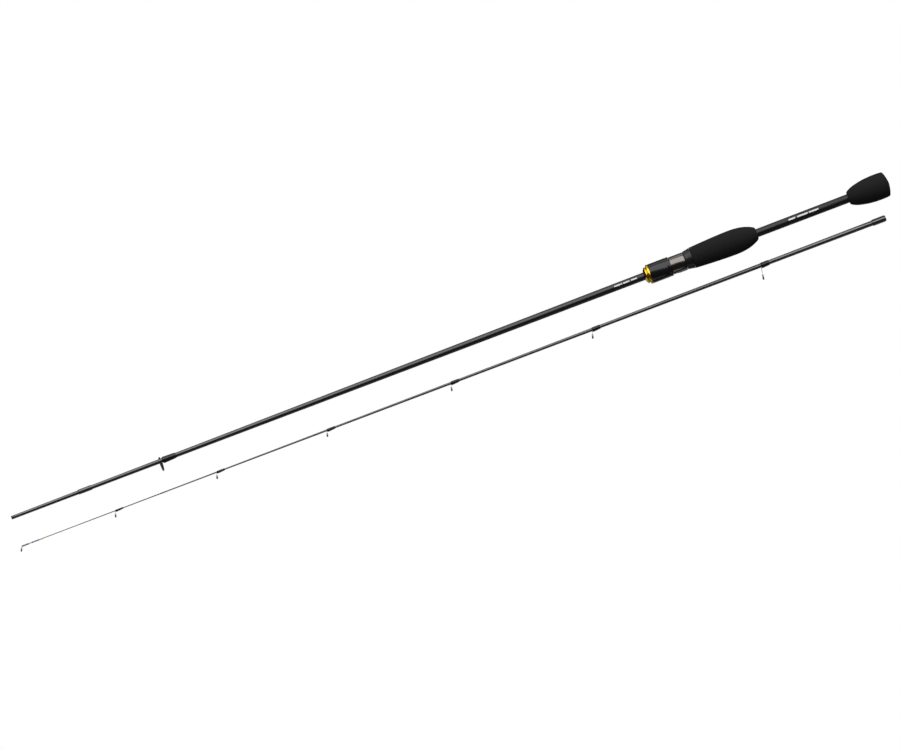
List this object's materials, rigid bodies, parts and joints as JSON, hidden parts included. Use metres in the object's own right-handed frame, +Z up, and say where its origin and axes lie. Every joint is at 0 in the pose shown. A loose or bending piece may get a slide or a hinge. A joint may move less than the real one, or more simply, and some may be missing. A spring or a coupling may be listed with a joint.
{
  "type": "spinning rod",
  "caption": "Two-piece ultralight spinning rod laid down in its two sections, with a screw-locking reel holder, foam grips and single-foot line guides.",
  "frame": {"origin": "centre of the bounding box, on the surface that both sections lie on", "axes": "+X along the rod towards the butt knob, +Y from the tip section to the butt section, +Z up"},
  "size_m": [1.0422, 0.0654, 0.0312],
  "materials": {
    "carbon": "clear-coated black carbon fibre, unsanded tape lines",
    "eva": "matte closed-cell EVA foam, fine grain",
    "seat_plastic": "satin black moulded nylon",
    "nut_plastic": "satin black moulded nylon",
    "hood_metal": "thin stainless sleeve, warm grey, fine circumferential brushing",
    "gold": "gold-coloured anodised aluminium, polished",
    "guide_metal": "dark polished stainless sheet",
    "guide_ceramic": "polished dark ceramic",
    "thread": "black thread binding under clear epoxy",
    "arbor": "hidden bush, plain",
    "band_dark": "dark thread under clear epoxy",
    "band_blue": "blue-grey thread under clear epoxy",
    "band_yellow": "pale yellow-green thread under clear epoxy"
  },
  "bodies": {
    "butt_section": {"butt_blank": "carbon", "butt_ferrule_wrap": "thread", "stripper_frame": "guide_metal", "stripper_ring": "guide_ceramic", "stripper_wrap": "thread", "reel_seat_body": "seat_plastic", "fixed_hood": "seat_plastic", "palm_grip": "eva", "butt_knob": "eva", "seat_arbor_1": "arbor", "seat_arbor_2": "arbor", "seat_arbor_3": "arbor"},
    "hood": {"hood_shell": "hood_metal", "hood_liner": "seat_plastic"},
    "nut": {"locking_nut": "nut_plastic", "nut_trim_ring": "gold"},
    "tip_section": {"tip_blank": "carbon", "solid_tip": "carbon", "tip_ferrule_wrap": "thread", "tip_top_frame": "guide_metal", "tip_top_ring": "guide_ceramic", "tip_band_dark": "band_dark", "tip_band_blue": "band_blue", "tip_band_yellow": "band_yellow", "guide_1_frame": "guide_metal", "guide_1_ring": "guide_ceramic", "guide_1_wrap": "thread", "guide_2_frame": "guide_metal", "guide_2_ring": "guide_ceramic", "guide_2_wrap": "thread", "guide_3_frame": "guide_metal", "guide_3_ring": "guide_ceramic", "guide_3_wrap": "thread", "guide_4_frame": "guide_metal", "guide_4_ring": "guide_ceramic", "guide_4_wrap": "thread", "guide_5_frame": "guide_metal", "guide_5_ring": "guide_ceramic", "guide_5_wrap": "thread", "guide_6_frame": "guide_metal", "guide_6_ring": "guide_ceramic", "guide_6_wrap": "thread"}
  },
  "joints": [
    {"name": "hood_slide", "type": "slide", "parent": "butt_section", "child": "hood", "axis": [-0.9999, 0, 0.0142], "range_m": [0, 0.014]},
    {"name": "nut_turn", "type": "hinge", "parent": "hood", "child": "nut", "pos_m": [0.25113, 0.01814, 0.01828], "axis": [-0.9999, 0, 0.0142], "range_deg": [0, 1800]},
    {"name": "tip_section_slide", "type": "slide", "parent": "butt_section", "child": "tip_section", "axis": [-1, 0, 0], "range_m": [0, 1.04]}
  ],
  "couplings": [
    {"joint": "nut_turn", "follows": "hood_slide", "rad_per_m": 2244}
  ]
}
